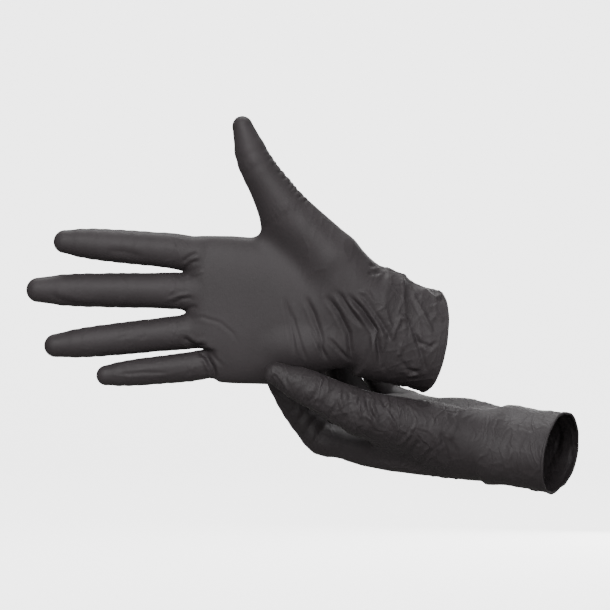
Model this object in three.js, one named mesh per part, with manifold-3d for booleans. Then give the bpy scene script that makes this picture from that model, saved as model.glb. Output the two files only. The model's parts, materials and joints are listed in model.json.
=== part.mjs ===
// A pair of stretchy disposable gloves, worn and handled: the right one lies open, the left one grips its edge.
// Millimetres, +Z up. Each glove is built in its own hand frame: u to the fingertips, v out of the palm, w to the
// thumb side, with the origin in the middle of the wrist. Every digit has a frame of its own: x along it, y to its
// pad, z the axis it curls about.
import * as THREE from "three";
import { ParametricGeometry } from "three/addons/geometries/ParametricGeometry.js";
import { mergeVertices } from "three/addons/utils/BufferGeometryUtils.js";
import Module from "manifold-3d";

const wasm = await Module();
wasm.setup();

// Driving dimensions.
const FILM = 0.2; // wall of the dipped film
const GAP = 0.3; // clearance between neighbouring zones of the film
const BEAD = 1.2; // width of the rolled bead round the cuff
const DIGIT_SIDES = 12;
const PALM_SIDES = 20;
const CUFF_SIDES = 20;
const THENAR_SIDES = 14;
const WRIST_CUT = 21; // degrees taken off each side of the wrist joint
const LEFT_CUP = 0.86; // a gripping palm is shorter than a flat one

// Each finger: knuckle in the hand frame, spread angle, phalanx lengths, and its width at even steps to the tip.
const FINGERS = {
  index: { at: [112.6, 40.6], spread: 4.8, bones: [23, 22, 22], widths: [19.8, 18.9, 18.4, 17.4, 15.2] },
  middle: { at: [113.2, 18.4], spread: 0.3, bones: [28, 26, 27.4], widths: [20.4, 19.4, 19.1, 18.2, 16.2] },
  ring: { at: [111.5, -5.2], spread: -6, bones: [25, 24, 24.5], widths: [19.2, 18.4, 17.8, 16.8, 15] },
  little: { at: [103.6, -24.2], spread: -5.7, bones: [17, 17, 18.2], widths: [17, 15.8, 15, 14.4, 13.2] },
};
const THUMB = { bones: [30.2, 27], widths: [25.6, 22.8, 20.4, 19.2, 15.8] };

// Cross sections of the palm along u: low and high w, half depth, middle in v.
const PALM_RINGS = [
  [-1, -31, 30.5, 20, 0],
  [10, -26.8, 33, 19, 0.5],
  [22, -26.5, 38, 18.5, 1],
  [40, -30.5, 43, 17, 1],
  [60, -34, 47.5, 15.5, 0.5],
  [80, -34, 49.5, 14, 0],
  [98, -33, 50, 13, 0],
  [114, -32.5, 50, 11.5, 0],
];
// How far each finger's joint cut reaches to either side of it.
const MOUTH = { index: [-11.4, 20], middle: [-11.4, 11.4], ring: [-11.4, 11.4], little: [-20, 9.4] };
// Where the web between the fingers ends, as points in u and w.
const WEB = [[108.6, 60], [108.6, -13.4], [99.4, -16.4], [99.4, -50], [130, -50], [130, 60]];

const RIGHT = {
  name: "right",
  cup: 1,
  thumb: { at: [50.5, 7, 64.5], along: [0.566, 0.06, 0.822], pad: [0.75, 0.42, -0.51], bend: -18.5 },
  base: [6, 3, 12],
  curl: { index: [0, 0, 0], middle: [0, 0, 0], ring: [0, 0, 0], little: [0, 0, 0] },
  cuff: { reach: [-30.5, -9, -10], down: [0.17, 0, -0.985], side: [-0.37, 0.927, -0.064], half: [27.6, 22] },
};
const LEFT = {
  name: "left",
  cup: LEFT_CUP,
  thumb: { at: [60.6, 32, 57.7], along: [0.746, 0.51, 0.43], pad: [0.45, -0.63, -0.68], bend: 10 },
  base: [8, 6, 14],
  curl: { index: [51, 10, 5], middle: [50, 14, 8], ring: [50, 17, 10], little: [50, 20, 12] },
  cuff: { reach: [-31.5, 0, -4], down: [0.12, 0, -0.993], side: [0, 1, 0], half: [28.5, 22] },
};

// What each joint takes off the zones on both sides of it, in degrees on the back and on the pad side.
const PALM_CUT = [0, 31];
const ROOT_CUT = [0, 45];
const MIDDLE_CUT = [0, 46];
const END_CUT = [0, 24];
const THUMB_ROOT_CUT = [16, 24];
const THUMB_END_CUT = [14, 32];

// The left hand's place: its directions and the middle of its wrist, measured from the middle of the right wrist.
const LEFT_TOWARD = [-0.854, 0.493, 0.165];
const LEFT_OUT = [-0.053, -0.398, 0.916];
const LEFT_WRIST = [73.7, 12.6, -67.1];

const KINDS = Object.keys(FINGERS);
const X = new THREE.Vector3(1, 0, 0);
const Y = new THREE.Vector3(0, 1, 0);
const Z = new THREE.Vector3(0, 0, 1);
const rad = THREE.MathUtils.degToRad;
const vec = (p) => new THREE.Vector3(...p);
const total = (list) => list.reduce((sum, x) => sum + x, 0);

const film = (name) => {
  const material = new THREE.MeshStandardMaterial({ color: 0x3a393b, roughness: 0.55, metalness: 0 });
  material.name = name;
  return material;
};
const filmOf = { right: film("right_film"), left: film("left_film") };

// A closed solid from rings of points: ring(i, angle) gives a point, and the rings run from one end to the other.
// A ring that shrinks to a point closes an end; a loop joins the last ring to the first.
function skin(count, sides, ring, loop = false) {
  const rows = loop ? count : count - 1;
  const surface = (a, b, target) => {
    const i = Math.round(b * rows) % count;
    ring(i, 2 * Math.PI * (Math.round(a * sides) % sides) / sides, target);
  };
  return new ParametricGeometry(surface, sides, rows);
}

// A three.js geometry as a manifold-3d solid, turned inside out if its faces point inwards.
function toSolid(geometry) {
  const bare = geometry.clone();
  bare.deleteAttribute("normal");
  bare.deleteAttribute("uv");
  const joined = mergeVertices(bare, 1e-4);
  const vertProperties = joined.attributes.position.array;
  const triVerts = new Uint32Array(joined.index.array);
  const solid = new wasm.Manifold(new wasm.Mesh({ numProp: 3, vertProperties, triVerts }));
  if (solid.volume() >= 0) return solid;
  const turned = triVerts.map((_, i) => triVerts[i - (i % 3) + 2 - (i % 3)]);
  return new wasm.Manifold(new wasm.Mesh({ numProp: 3, vertProperties, triVerts: turned }));
}

// A manifold-3d solid as a three.js geometry.
function toGeometry(solid) {
  const mesh = solid.getMesh();
  const geometry = new THREE.BufferGeometry();
  const points = new Float32Array(mesh.numVert * 3);
  for (let i = 0; i < mesh.numVert; i++) {
    points.set(mesh.vertProperties.subarray(i * mesh.numProp, i * mesh.numProp + 3), 3 * i);
  }
  geometry.setAttribute("position", new THREE.BufferAttribute(points, 3));
  geometry.setIndex(new THREE.BufferAttribute(new Uint32Array(mesh.triVerts), 1));
  geometry.computeVertexNormals();
  return geometry;
}

// A solid lofted through oval sections, each with a centre, two half axes as vectors, and a squareness.
function loft(sections, sides) {
  const ends = [sections[0], ...sections, sections[sections.length - 1]];
  const ring = (i, angle, target) => {
    const s = ends[i];
    const closed = i === 0 || i === ends.length - 1;
    const power = 2 / (s.square || 2);
    const c = Math.cos(angle);
    const d = Math.sin(angle);
    target.copy(s.centre);
    if (closed) return;
    target.addScaledVector(s.wide, Math.sign(c) * Math.abs(c) ** power);
    target.addScaledVector(s.deep, Math.sign(d) * Math.abs(d) ** power);
  };
  return toSolid(skin(ends.length, sides, ring));
}

// The same sections drawn in by the film's thickness.
const inset = (sections) =>
  sections.map((s) => ({
    ...s,
    wide: s.wide.clone().setLength(s.wide.length() - FILM),
    deep: s.deep.clone().setLength(s.deep.length() - FILM),
  }));

// A flat outline pushed along z from one height to another.
function extruded(points, from, to) {
  const shape = new THREE.Shape(points.map(([x, y]) => new THREE.Vector2(x, y)));
  return new THREE.ExtrudeGeometry(shape, { depth: to - from, bevelEnabled: false }).translate(0, 0, from);
}

// What is cut from a zone at a joint with its axis along z at x: all beyond a line that leans away from the joint
// by one angle on the back (y < 0) and another on the pad side (y > 0). The zone lies on the -x side if side is -1.
function jointCut(x, side, back, pad, from = -40, to = 40, reach = 60) {
  const edge = side * GAP / 2 + x;
  const outline = [
    [edge + side * reach * Math.tan(rad(back)), -reach],
    [edge, 0],
    [edge + side * reach * Math.tan(rad(pad)), reach],
    [x - side * 3 * reach, reach],
    [x - side * 3 * reach, -reach],
  ];
  return extruded(outline, from, to);
}

// Half width of a digit at a distance from its root joint.
function halfWidth(digit, x) {
  const last = digit.widths.length - 1;
  const t = THREE.MathUtils.clamp(x / total(digit.bones), 0, 1) * digit.widths.length;
  const i = Math.min(Math.floor(t), last);
  const next = Math.min(i + 1, last);
  return THREE.MathUtils.lerp(digit.widths[i], digit.widths[next], Math.min(t - i, 1)) / 2;
}

// Sections of a digit between two distances from its root joint, drawn about the origin at start.
function digitSections(digit, start, from, to, steps, depth = 0.92) {
  const sections = [];
  for (let i = 0; i <= steps; i++) {
    const x = from + (to - from) * i / steps;
    const r = halfWidth(digit, start + x);
    sections.push({ centre: vec([x, 0, 0]), wide: vec([0, 0, r]), deep: vec([0, depth * r, 0]), square: 2.15 });
  }
  return sections;
}

// Sections that round off the end of a digit, from the last full one to the tip.
function tipSections(digit, start, length) {
  const r = halfWidth(digit, total(digit.bones));
  const sections = digitSections(digit, start, -6, length - r, 2);
  for (const t of [0.4, 0.72, 0.93]) {
    const k = Math.sqrt(1 - t * t);
    sections.push({
      centre: vec([length - r + r * t, 0.05 * r * t, 0]),
      wide: vec([0, 0, r * k]),
      deep: vec([0, 0.88 * r * k, 0]),
      square: 2.1,
    });
  }
  return sections;
}

// A tube of film between two joints.
function tube(digit, start, length, nearCut, farCut) {
  const outer = loft(digitSections(digit, start, -3, length + 3, 2), DIGIT_SIDES);
  const inner = loft(inset(digitSections(digit, start, -5, length + 5, 2)), DIGIT_SIDES);
  return toGeometry(outer.subtract(inner).subtract(toSolid(nearCut)).subtract(toSolid(farCut)));
}

// A fingertip: a tube with a rounded end.
function tip(digit, start, length, nearCut) {
  const sections = tipSections(digit, start, length);
  const nose = { centre: vec([length, 0, 0]), wide: vec([0, 0, 0.4]), deep: vec([0, 0.4, 0]) };
  const outer = loft([...sections, nose], DIGIT_SIDES);
  const within = inset(sections).map((s) => ({ ...s, centre: s.centre.clone().add(vec([-FILM, 0, 0])) }));
  const mouth = { ...within[0], centre: vec([-12, 0, 0]) };
  const inner = loft([mouth, ...within], DIGIT_SIDES);
  return toGeometry(outer.subtract(inner).subtract(toSolid(nearCut)));
}

function mesh(name, geometry, side) {
  const made = new THREE.Mesh(geometry, filmOf[side]);
  made.name = name;
  return made;
}

// A group at a point, with x along one direction and y towards another.
function frame(name, at, x, y) {
  const group = new THREE.Group();
  group.name = name;
  const along = x.clone().normalize();
  const axis = new THREE.Vector3().crossVectors(along, y).normalize();
  const pad = new THREE.Vector3().crossVectors(axis, along);
  group.quaternion.setFromRotationMatrix(new THREE.Matrix4().makeBasis(along, pad, axis));
  group.position.copy(at);
  return group;
}

// A group that turns about its own z, some way along its parent's x.
function hinge(name, x, degrees) {
  const group = new THREE.Group();
  group.name = name;
  group.position.x = x;
  group.rotation.z = rad(degrees);
  return group;
}

// The frame of a finger laid flat, at its root joint.
function fingerFrame(hand, kind) {
  const { at: [u, w], spread } = FINGERS[kind];
  const along = X.clone().applyAxisAngle(Y, -rad(spread));
  const group = frame(`${hand.name}_${kind}_spread`, vec([u * hand.cup, 0, w]), along, Y);
  group.updateMatrix();
  return group;
}

// The frame of a thumb, at its root joint.
function thumbFrame(hand) {
  const { at, along, pad } = hand.thumb;
  const group = frame(`${hand.name}_thumb_frame`, vec(at), vec(along), vec(pad));
  group.updateMatrix();
  return group;
}

function finger(hand, kind) {
  const digit = FINGERS[kind];
  const [a, b, c] = digit.bones;
  const root = fingerFrame(hand, kind);
  const [one, two, three] = hand.curl[kind];
  const base = hinge(`${hand.name}_${kind}_root`, 0, one);
  const middle = hinge(`${hand.name}_${kind}_middle_joint`, a, two);
  const end = hinge(`${hand.name}_${kind}_end_joint`, b, three);
  root.add(base);
  base.add(middle);
  middle.add(end);
  const first = tube(digit, 0, a, jointCut(0, 1, ...ROOT_CUT), jointCut(a, -1, ...MIDDLE_CUT));
  const second = tube(digit, a, b, jointCut(0, 1, ...MIDDLE_CUT), jointCut(b, -1, ...END_CUT));
  const third = tip(digit, a + b, c, jointCut(0, 1, ...END_CUT));
  base.add(mesh(`${hand.name}_${kind}_base`, first, hand.name));
  middle.add(mesh(`${hand.name}_${kind}_middle`, second, hand.name));
  end.add(mesh(`${hand.name}_${kind}_tip`, third, hand.name));
  return root;
}

function thumb(hand) {
  const [a, b] = THUMB.bones;
  const root = thumbFrame(hand);
  const base = hinge(`${hand.name}_thumb_root`, 0, 0);
  const end = hinge(`${hand.name}_thumb_end_joint`, a, hand.thumb.bend);
  root.add(base);
  base.add(end);
  const first = tube(THUMB, 0, a, jointCut(0, 1, ...THUMB_ROOT_CUT), jointCut(a, -1, ...THUMB_END_CUT));
  const second = tip(THUMB, a, b, jointCut(0, 1, ...THUMB_END_CUT));
  base.add(mesh(`${hand.name}_thumb_base`, first, hand.name));
  end.add(mesh(`${hand.name}_thumb_tip`, second, hand.name));
  return root;
}

// The palm, from the wrist to the roots of the fingers and the thumb.
function palmSections(hand) {
  return PALM_RINGS.map(([u, low, high, depth, v], i) => ({
    centre: vec([u * (i ? hand.cup : 1), v, (low + high) / 2]),
    wide: vec([0, 0, (high - low) / 2]),
    deep: vec([0, depth, 0]),
    square: 2.1 + 0.9 * Math.min(i / 4, 1),
  }));
}

// The ball of the thumb: ovals from the heel of the palm to the thumb's root joint.
function thenarSections(hand, past) {
  const root = thumbFrame(hand);
  const [along, pad, axis] = [X, Y, Z].map((d) => d.clone().applyQuaternion(root.quaternion));
  const end = vec(hand.thumb.at);
  const start = vec(hand.base);
  const way = end.clone().sub(start).normalize();
  const fine = halfWidth(THUMB, 0);
  const sections = [];
  for (const [t, extra] of [[0, 4.5], [0.35, 4], [0.7, 1.5], [0.93, 0]]) {
    const turned = new THREE.Quaternion().setFromUnitVectors(along, along.clone().lerp(way, 1 - t).normalize());
    sections.push({
      centre: start.clone().lerp(end, t),
      wide: axis.clone().applyQuaternion(turned).multiplyScalar((fine + extra * 0.6)),
      deep: pad.clone().applyQuaternion(turned).multiplyScalar((0.92 * fine + extra)),
      square: 2.15,
    });
  }
  for (const x of [0, past]) {
    sections.push({
      centre: end.clone().addScaledVector(along, x),
      wide: axis.clone().multiplyScalar(fine),
      deep: pad.clone().multiplyScalar(0.92 * fine),
      square: 2.15,
    });
  }
  return sections;
}

// A short stub of each finger, in the hand frame, so that the palm ends in four round mouths.
function stub(hand, kind, from, to, thinner) {
  const swell = (x) => THREE.MathUtils.clamp(-x / 24, 0, 1);
  const shaped = digitSections(FINGERS[kind], 0, from, to, 2).map((s) => ({
    ...s,
    wide: s.wide.clone().setLength(s.wide.length() + 0.2 * swell(s.centre.x)),
    deep: s.deep.clone().setLength(s.deep.length() + 3 * swell(s.centre.x)),
  }));
  const made = loft(thinner ? inset(shaped) : shaped, DIGIT_SIDES);
  return made.transform(fingerFrame(hand, kind).matrix.toArray());
}

// All that lies beyond the web of the fingers, moved back by the film's thickness for the inside.
function webCut(hand, back) {
  const outline = WEB.map(([u, w]) => [u * hand.cup - back, w - back / 3]);
  return toSolid(extruded(outline, -40, 40).rotateX(Math.PI / 2));
}

// The palm as a solid: its outside, or the space inside it, which runs on through every mouth.
function palmSolid(hand, thinner) {
  const grow = thinner ? 1 : 0;
  const shape = (sections) => loft(thinner ? inset(sections) : sections, PALM_SIDES);
  const body = palmSections(hand);
  if (thinner) body[0].centre.x -= 6;
  let solid = shape(body).subtract(webCut(hand, thinner ? FILM : 0));
  for (const kind of KINDS) solid = solid.add(stub(hand, kind, -18 + FILM * grow, 4 + 3 * grow, thinner));
  const thenar = thenarSections(hand, 4 + 3 * grow);
  if (thinner) thenar[0].centre.lerp(thenar[1].centre, 0.03);
  return solid.add(loft(thinner ? inset(thenar) : thenar, THENAR_SIDES));
}

function palm(hand) {
  let solid = palmSolid(hand, false).subtract(palmSolid(hand, true));
  for (const kind of KINDS) {
    const [low, high] = MOUTH[kind];
    const mouth = toSolid(jointCut(0, -1, ...PALM_CUT, low, high));
    solid = solid.subtract(mouth.transform(fingerFrame(hand, kind).matrix.toArray()));
  }
  const thumbMouth = toSolid(jointCut(0, -1, ...THUMB_ROOT_CUT, -17, 17, 15));
  solid = solid.subtract(thumbMouth.transform(thumbFrame(hand).matrix.toArray()));
  solid = solid.subtract(toSolid(jointCut(0, 1, WRIST_CUT, WRIST_CUT, -60, 60)));
  const parts = solid.decompose().sort((p, q) => q.volume() - p.volume());
  return toGeometry(parts[0]);
}

// The cuff, from the wrist to the bead, with its rings turning from square to the wrist to the plane of the rim.
function cuffRing(hand, t, along = 0) {
  const { reach, down, side, half } = hand.cuff;
  const [, low, high, depth] = PALM_RINGS[0];
  const turn = THREE.MathUtils.clamp(t, 0, 1);
  const wide = vec([0, 0, -1]).lerp(vec(down), turn).normalize();
  const deep = vec([0, 1, 0]).lerp(vec(side), turn);
  deep.addScaledVector(wide, -deep.dot(wide)).normalize();
  const out = new THREE.Vector3().crossVectors(wide, deep).normalize();
  if (out.x > 0) out.negate();
  const centre = vec([0, 0, (low + high) / 2]).lerp(vec(reach), t).addScaledVector(out, along);
  const a = THREE.MathUtils.lerp((high - low) / 2, half[0], turn);
  const b = THREE.MathUtils.lerp(depth, half[1], turn);
  return { centre, wide: wide.multiplyScalar(a), deep: deep.multiplyScalar(b), square: 2.1, out };
}

function cuff(hand) {
  const steps = [-0.25, 0, 0.35, 0.7, 1];
  const rings = steps.map((t) => cuffRing(hand, t));
  const outer = loft(rings, CUFF_SIDES);
  const inner = loft(inset([...rings, cuffRing(hand, 1, 4)]), CUFF_SIDES);
  const start = { ...rings[0], centre: rings[0].centre.clone().add(vec([6, 0, 0])) };
  const open = loft(inset([start, rings[0]]), CUFF_SIDES);
  let solid = outer.subtract(inner).subtract(open);
  solid = solid.subtract(toSolid(jointCut(0, -1, WRIST_CUT, WRIST_CUT, -60, 60)));
  return toGeometry(solid);
}

// The bead: an eight-sided roll swept round the rim, with its outer flat in the plane of the rim.
function bead(hand) {
  const rim = cuffRing(hand, 1);
  const around = 24;
  const profile = 8;
  const middle = GAP + BEAD / 2;
  const spoke = BEAD / 2 / Math.cos(Math.PI / profile);
  const ring = (i, angle, target) => {
    const turn = 2 * Math.PI * i / around;
    const outward = rim.wide.clone().multiplyScalar(Math.cos(turn)).addScaledVector(rim.deep, Math.sin(turn));
    const radial = outward.clone().normalize();
    const phase = angle + Math.PI / profile;
    target.copy(rim.centre).add(outward);
    target.addScaledVector(radial, spoke * Math.cos(phase));
    target.addScaledVector(rim.out, middle + spoke * Math.sin(phase));
  };
  return toGeometry(toSolid(skin(around, profile, ring, true)));
}

function glove(hand) {
  const group = new THREE.Group();
  group.name = `${hand.name}_hand`;
  // Everything past the wrist turns about w together.
  const wrist = new THREE.Group();
  wrist.name = `${hand.name}_wrist`;
  const held = new THREE.Group();
  held.name = `${hand.name}_cuff_frame`;
  held.add(mesh(`${hand.name}_cuff`, cuff(hand), hand.name));
  held.add(mesh(`${hand.name}_cuff_bead`, bead(hand), hand.name));
  wrist.add(mesh(`${hand.name}_palm`, palm(hand), hand.name));
  for (const kind of KINDS) wrist.add(finger(hand, kind));
  wrist.add(thumb(hand));
  group.add(held, wrist);
  return group;
}

// The right hand points to -X with its palm to -Y and its thumb up.
const pair = new THREE.Group();
pair.name = "glove_pair";
const right = glove(RIGHT);
right.quaternion.setFromRotationMatrix(new THREE.Matrix4().makeBasis(vec([-1, 0, 0]), vec([0, -1, 0]), Z));

// The left hand is the right one mirrored in w, and comes up from below with its thumb in front of the right palm.
const left = glove(LEFT);
left.scale.z = -1;
const leftFrame = frame("left_frame", vec(LEFT_WRIST), vec(LEFT_TOWARD), vec(LEFT_OUT));
leftFrame.add(left);
pair.add(right, leftFrame);

// The pair stands with the middle of its lowest level at the origin.
const bounds = new THREE.Box3().setFromObject(pair, true);
const middle = bounds.getCenter(new THREE.Vector3());
pair.position.set(-middle.x, -middle.y, -bounds.min.z);
const gloves = new THREE.Group();
gloves.name = "disposable_gloves";
gloves.add(pair);

export default gloves;
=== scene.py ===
"""A pair of black stretchy disposable gloves: the right one open, the left one gripping its edge.

Each glove is one film. Its skin is the zero level of a distance field round the bones of a hand.
It is wrinkled, given a wall, and split into pieces at the joints. Lengths are millimetres
in a hand's own frame: u to the fingertips, v out of the palm, w to the thumb side, from the middle of
the wrist.
"""

import bpy
import json
import math
import numpy as np
import openvdb
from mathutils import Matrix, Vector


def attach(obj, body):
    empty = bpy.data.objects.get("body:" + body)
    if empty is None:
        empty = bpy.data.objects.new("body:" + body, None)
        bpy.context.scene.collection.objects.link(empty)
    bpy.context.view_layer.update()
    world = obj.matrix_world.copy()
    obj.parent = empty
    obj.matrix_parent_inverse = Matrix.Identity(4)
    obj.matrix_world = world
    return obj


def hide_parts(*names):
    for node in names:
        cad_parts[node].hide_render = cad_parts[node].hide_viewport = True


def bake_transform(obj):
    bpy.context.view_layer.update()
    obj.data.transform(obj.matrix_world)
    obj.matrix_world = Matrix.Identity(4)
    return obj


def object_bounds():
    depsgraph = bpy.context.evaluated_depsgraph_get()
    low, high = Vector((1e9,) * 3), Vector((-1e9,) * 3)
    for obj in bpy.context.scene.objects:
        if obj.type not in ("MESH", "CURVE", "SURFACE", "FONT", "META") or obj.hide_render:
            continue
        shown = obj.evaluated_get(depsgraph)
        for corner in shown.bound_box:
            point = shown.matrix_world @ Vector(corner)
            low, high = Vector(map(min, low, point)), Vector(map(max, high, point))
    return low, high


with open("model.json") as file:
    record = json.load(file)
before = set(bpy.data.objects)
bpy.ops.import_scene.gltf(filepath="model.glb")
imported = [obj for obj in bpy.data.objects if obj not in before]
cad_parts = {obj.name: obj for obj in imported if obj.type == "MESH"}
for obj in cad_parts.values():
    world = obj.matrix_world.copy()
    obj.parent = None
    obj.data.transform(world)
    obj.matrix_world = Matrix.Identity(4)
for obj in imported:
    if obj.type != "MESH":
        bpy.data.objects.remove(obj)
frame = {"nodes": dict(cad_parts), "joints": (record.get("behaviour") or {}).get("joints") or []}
CAD_BOX = [list(map(float, corner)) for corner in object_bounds()]
JOINTS = {joint["name"]: joint for joint in frame["joints"]}

# The grid's pitch, and how many grid points a block of it has along each side.
STEP = 0.7
CELL = 8
# How often the skin, and the line of the rim, are evened out.
SMOOTHING = 6
# The distance from the skin, to each side, up to which the field is kept.
BAND = 5.0
# The film's thickness, and the radius of the rolled rim.
WALL = 0.4
BEAD = 0.75
# How far below the gloves the floor is, in metres. The released glove comes down 120 mm.
FLOOR_DROP = 0.14
# The span worked out round each joint reaches within BEND of it to each side, and within ROOT_BEND of the
# edge at a digit's root.
BEND = 11.0
ROOT_BEND = 16.0
DIGITS = ("index", "middle", "ring", "little", "thumb")
FINGERS = DIGITS[:4]

# Half widths of each digit at even steps from its root joint to its tip.
HALF = {
    "index": (9.7, 9.45, 9.3, 9.0, 8.4, 6.5),
    "middle": (10.0, 9.7, 9.6, 9.4, 8.8, 6.9),
    "ring": (9.4, 9.2, 9.0, 8.75, 8.1, 6.5),
    "little": (8.1, 7.9, 7.7, 7.45, 6.9, 5.6),
    "thumb": (12.7, 11.5, 10.3, 9.8, 8.9, 6.1),
}
# The web of the little finger, and how much farther out that of the three long fingers is.
WEB = 96
WEB_STEP = 12.6
# Cross sections of the palm: u, low w, high w, half depth, middle v, squareness.
PALM = np.array([
    (-14, -26.0, 24.0, 15.0, 0.0, 2.1),
    (0, -28.5, 29.5, 19.0, 0.0, 2.2),
    (10, -24.5, 33.0, 18.3, 0.3, 2.3),
    (22, -24.0, 37.0, 17.3, 0.3, 2.5),
    (40, -30.5, 42.0, 15.8, 0.0, 2.7),
    (60, -33.8, 47.3, 14.0, -0.3, 2.8),
    (80, -33.3, 48.8, 13.0, -0.3, 2.9),
    (98, -31.8, 49.0, 10.9, 0.0, 2.8),
    (114, -30.5, 49.0, 9.2, 0.0, 2.7),
])


def unit(v):
    """The same direction with length 1."""
    v = np.asarray(v, float)
    return v / np.linalg.norm(v)


class Hand:
    """A hand's frame and bones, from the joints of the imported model.

    toward and out: the ways the fingers and the palm point. cup: how far a cupped palm is shortened.
    base: where the ball of the thumb starts. reach, rim and half: the middle of the cuff's rim, the way
    it faces and its half sizes.
    """

    def __init__(self, side, toward, out, cup, base, reach, rim, half):
        self.side = side
        self.u = unit(toward)
        self.v = unit(np.asarray(out, float) - self.u * np.dot(self.u, out))
        self.w = np.cross(self.u, self.v) * (1 if side == "right" else -1)
        self.cup = cup
        self.origin = np.array(JOINTS[side + "_wrist"]["pos_m"]) * 1000
        self.base = np.array(base, float)
        self.reach = np.array(reach, float)
        self.rim = unit(rim)
        self.half = half
        self.bones = {digit: self.chain(digit) for digit in DIGITS}

    def local(self, point):
        d = np.asarray(point, float) - self.origin
        return np.stack([d @ self.u, d @ self.v, d @ self.w], axis=-1)

    def world(self, point):
        p = np.asarray(point, float)
        return self.origin + p[..., :1] * self.u + p[..., 1:2] * self.v + p[..., 2:3] * self.w

    def joint(self, name):
        return self.local(np.array(JOINTS[f"{self.side}_{name}"]["pos_m"]) * 1000)

    def chain(self, digit):
        """The digit's joints and the end of its tip, and its curl axis, in the hand's frame."""
        if digit == "thumb":
            names = ["thumb_swing", "thumb_bend"]
        else:
            names = [digit + "_curl", digit + "_middle_bend", digit + "_tip_bend"]
        points = [self.joint(n) for n in names]
        mesh = frame["nodes"][f"{self.side}_{digit}_tip"]
        count = len(mesh.data.vertices)
        flat = np.empty(count * 3)
        mesh.data.vertices.foreach_get("co", flat)
        tip = self.local(flat.reshape(-1, 3) * 1000)
        far = tip[np.argmax(np.linalg.norm(tip - points[-1], axis=1))]
        near = np.linalg.norm(tip - far, axis=1) < 1.5
        points.append(tip[near].mean(axis=0))
        axis = np.array(JOINTS[f"{self.side}_{names[0]}"]["axis"])
        axis = unit(np.array([axis @ self.u, axis @ self.v, axis @ self.w]))
        return np.array(points), axis if self.side == "right" else -axis


HANDS = (
    Hand(
        "right", toward=(-1, 0, 0), out=(0, -1, 0), cup=1.0, base=(6, 3, 12),
        reach=(-30.5, -9, -10), rim=(-0.913, -0.375, -0.158), half=(27.6, 22),
    ),
    Hand(
        "left", toward=(-0.854, 0.493, 0.165), out=(-0.053, -0.398, 0.916), cup=0.86, base=(8, 6, 14),
        reach=(-31.5, 0, -4), rim=(-0.993, 0, -0.12), half=(28.5, 22),
    ),
)


# ---- fields ----------------------------------------------------------------------------------

def blend_min(a, b, k):
    """The union of two shapes, rounded where they meet within k of each other."""
    h = np.clip(0.5 + 0.5 * (b - a) / k, 0, 1)
    return b + (a - b) * h - k * h * (1 - h)


def smooth(t):
    """An eased step from 0 to 1."""
    t = np.clip(t, 0, 1)
    return t * t * (3 - 2 * t)


def bone_field(p, a, b, ra, rb, axis, depth=0.93):
    """Distance to a tapered bone with round ends, a little flatter across its axis, and the way along it."""
    d = b - a
    length = np.linalg.norm(d)
    d = d / length
    z = unit(axis - d * np.dot(axis, d))
    y = np.cross(z, d)
    q = p - a
    x = q @ d
    t = np.clip(x / length, 0, 1)
    r = ra + (rb - ra) * t
    off = x - t * length
    return np.sqrt(off ** 2 + (q @ y / depth) ** 2 + (q @ z) ** 2) - r, x


def digit_radius(digit, share):
    """A digit's half width at a share of its length."""
    return np.interp(share, np.linspace(0, 1, 6), HALF[digit])


def digit_path(hand, digit):
    """A digit's middle line with its bends rounded, and the arc length from its root joint at each point."""
    points, _ = hand.bones[digit]
    points = points.copy()
    points[-1] = points[-1] - unit(points[-1] - points[-2]) * digit_radius(digit, 1) * 0.96
    lengths = np.concatenate([[0], np.cumsum(np.linalg.norm(np.diff(points, axis=0), axis=1))])
    if digit != "thumb":
        # A finger starts inside the palm, nearer to the middle of the hand than its root joint.
        inside = np.array([-12 * hand.cup, 0.3, (8 - points[0][2]) * 0.07])
        points = np.vstack([points[0] + inside, points])
        lengths = np.concatenate([[-12 * hand.cup], lengths])
    path = [points[0]]
    arc = [lengths[0]]
    for i in range(1, len(points) - 1):
        reach = min(7.0, 0.45 * (lengths[i] - lengths[i - 1]), 0.45 * (lengths[i + 1] - lengths[i]))
        before = points[i] - reach * unit(points[i] - points[i - 1])
        after = points[i] + reach * unit(points[i + 1] - points[i])
        path += [before, 0.25 * before + 0.5 * points[i] + 0.25 * after, after]
        arc += [lengths[i] - reach, lengths[i], lengths[i] + reach]
    path.append(points[-1])
    arc.append(lengths[-1])
    return np.array(path), np.array(arc)


def digit_field(hand, digit, p):
    """Distance to a digit, and the arc length from its root joint."""
    path, arc = digit_path(hand, digit)
    axis = hand.bones[digit][1]
    field = None
    along = None
    radius = digit_radius(digit, arc / arc[-1])
    for i in range(len(path) - 1):
        f, x = bone_field(p, path[i], path[i + 1], radius[i], radius[i + 1], axis)
        s = arc[i] + x
        if field is None:
            field, along = f, s
        else:
            along = np.where(f < field, s, along)
            field = blend_min(field, f, 0.8)
    return field, along


def palm_field(hand, p):
    """The palm as a loft of squarish ovals, closed at the web of the fingers.

    It slopes down to the three long fingers over twice the length that it does to the little finger.
    """
    u = p[..., 0] / hand.cup
    low, high, depth, mid, square = (np.interp(u, PALM[:, 0], PALM[:, i]) for i in range(1, 6))
    a = (high - low) / 2
    x = np.abs(p[..., 2] - (high + low) / 2) / a
    y = np.abs(p[..., 1] - mid) / depth
    q = (x ** square + y ** square + 1e-9) ** (1 / square)
    side = (q - 1) * np.minimum(depth, a) * 0.9
    long = smooth((p[..., 2] + 15.5) / 5)
    web = (WEB + WEB_STEP * long) * hand.cup
    front = (1 - 0.5 * long) * (p[..., 0] - web + 3.4)
    back = -14 - p[..., 0]
    return np.maximum(np.maximum(side, back), blend_cap(side, front))


def blend_cap(side, front):
    """Rounds the edge between the palm's sides and its web."""
    r = 6.0
    x = np.maximum(side + r, 0)
    y = np.maximum(front + r, 0)
    return np.minimum(np.maximum(side + r, front + r), 0) + np.sqrt(x * x + y * y) - r


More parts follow.
